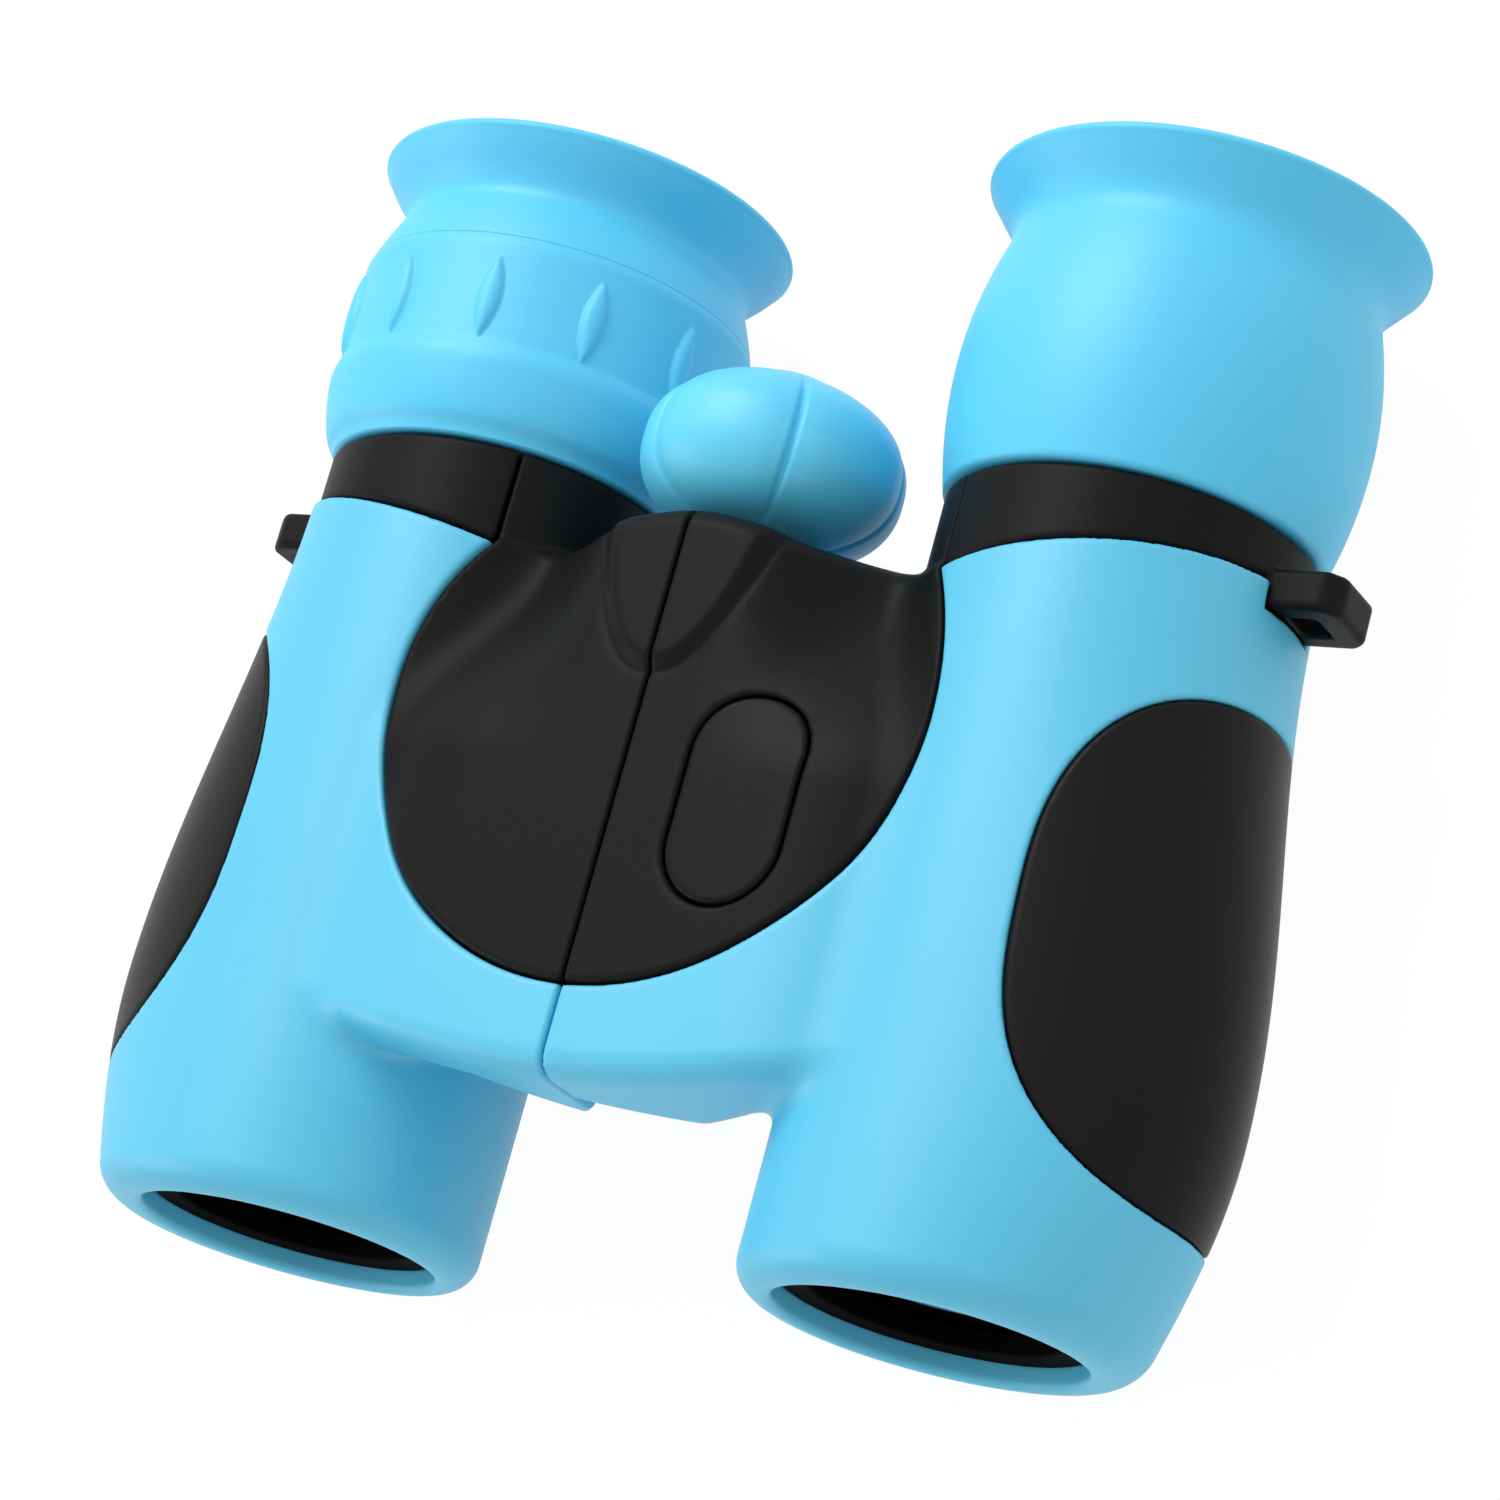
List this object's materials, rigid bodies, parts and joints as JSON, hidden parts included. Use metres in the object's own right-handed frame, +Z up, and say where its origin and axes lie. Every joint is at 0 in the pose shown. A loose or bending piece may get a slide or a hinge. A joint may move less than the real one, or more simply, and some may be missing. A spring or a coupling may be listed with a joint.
{
  "type": "toy binoculars",
  "caption": "Children's compact folding binoculars: blue rubber-armoured barrels on a centre hinge, lobed focus wheel, dioptre ring, soft flared eyecups and strap lugs.",
  "frame": {"origin": "middle of the bounding box's underside, the surface that the eyecup flanges lie on", "axes": "+Y along the optical axes from the objectives to the eyepieces, +Z up through the top covers, +X towards the user's left barrel"},
  "size_m": [0.1022, 0.0942, 0.0366],
  "materials": {
    "armour_blue": "satin soft-touch",
    "eyecup_blue": "matte soft rubber",
    "wheel_blue": "matte soft rubber",
    "grip_black": "satin rubber",
    "cover_black": "fine satin",
    "badge_black": "satin",
    "inner_black": "matte",
    "lens_glass": "coated",
    "steel": "plain",
    "brass": "turned"
  },
  "bodies": {
    "left_barrel": {"left_housing": "inner_black", "left_armour": "armour_blue", "left_top_cover": "cover_black", "left_side_grip": "grip_black", "left_strap_collar": "cover_black", "left_objective_ring": "inner_black", "left_objective_lens": "lens_glass", "left_prism_holder": "inner_black", "left_half_prism": "lens_glass", "left_roof_prism": "lens_glass", "left_eyepiece_tube": "inner_black", "left_field_lens": "lens_glass", "left_eye_lens": "lens_glass", "left_eyecup": "eyecup_blue", "badge": "badge_black", "hinge_pin": "steel", "hinge_bush": "brass", "hinge_washer": "steel"},
    "right_barrel": {"right_housing": "inner_black", "right_armour": "armour_blue", "right_top_cover": "cover_black", "right_side_grip": "grip_black", "right_strap_collar": "cover_black", "right_objective_ring": "inner_black", "right_objective_lens": "lens_glass", "right_prism_holder": "inner_black", "right_half_prism": "lens_glass", "right_roof_prism": "lens_glass"},
    "focus_drive": {"focus_wheel": "wheel_blue", "focus_spindle": "brass", "focus_wheel_screw": "steel"},
    "shuttle": {"focus_shuttle": "brass"},
    "left_focus": {"left_focus_cell": "inner_black", "left_focus_lens": "lens_glass"},
    "right_focus": {"right_focus_cell": "inner_black", "right_focus_lens": "lens_glass"},
    "diopter": {"diopter_ring": "eyecup_blue", "right_eyecup": "eyecup_blue"},
    "right_eyepiece": {"right_eyepiece_tube": "inner_black", "right_field_lens": "lens_glass", "right_eye_lens": "lens_glass"}
  },
  "joints": [
    {"name": "fold", "type": "hinge", "parent": "left_barrel", "child": "right_barrel", "pos_m": [0, -0.0071, 0.0253], "axis": [0, -1, 0], "range_deg": [0, 40]},
    {"name": "focus_turn", "type": "hinge", "parent": "left_barrel", "child": "focus_drive", "pos_m": [0, 0.0208, 0.0253], "axis": [0, 1, 0], "range_deg": [-180, 180]},
    {"name": "shuttle_slide", "type": "slide", "parent": "left_barrel", "child": "shuttle", "axis": [0, 1, 0], "range_m": [-0.0021, 0.0021]},
    {"name": "left_focus_slide", "type": "slide", "parent": "left_barrel", "child": "left_focus", "axis": [0, 1, 0], "range_m": [-0.0021, 0.0021]},
    {"name": "right_focus_slide", "type": "slide", "parent": "right_barrel", "child": "right_focus", "axis": [0, 1, 0], "range_m": [-0.0021, 0.0021]},
    {"name": "diopter_turn", "type": "hinge", "parent": "right_barrel", "child": "diopter", "pos_m": [-0.03, 0.0279, 0.0183], "axis": [0, 1, 0], "range_deg": [-40, 40]},
    {"name": "right_eyepiece_slide", "type": "slide", "parent": "right_barrel", "child": "right_eyepiece", "axis": [0, 1, 0], "range_m": [-0.00085, 0.00085]}
  ],
  "couplings": [
    {"joint": "shuttle_slide", "follows": "focus_turn", "m_per_rad": 0.00063662},
    {"joint": "left_focus_slide", "follows": "focus_turn", "m_per_rad": 0.00063662},
    {"joint": "right_focus_slide", "follows": "focus_turn", "m_per_rad": 0.00063662},
    {"joint": "right_eyepiece_slide", "follows": "diopter_turn", "m_per_rad": 0.001146}
  ]
}
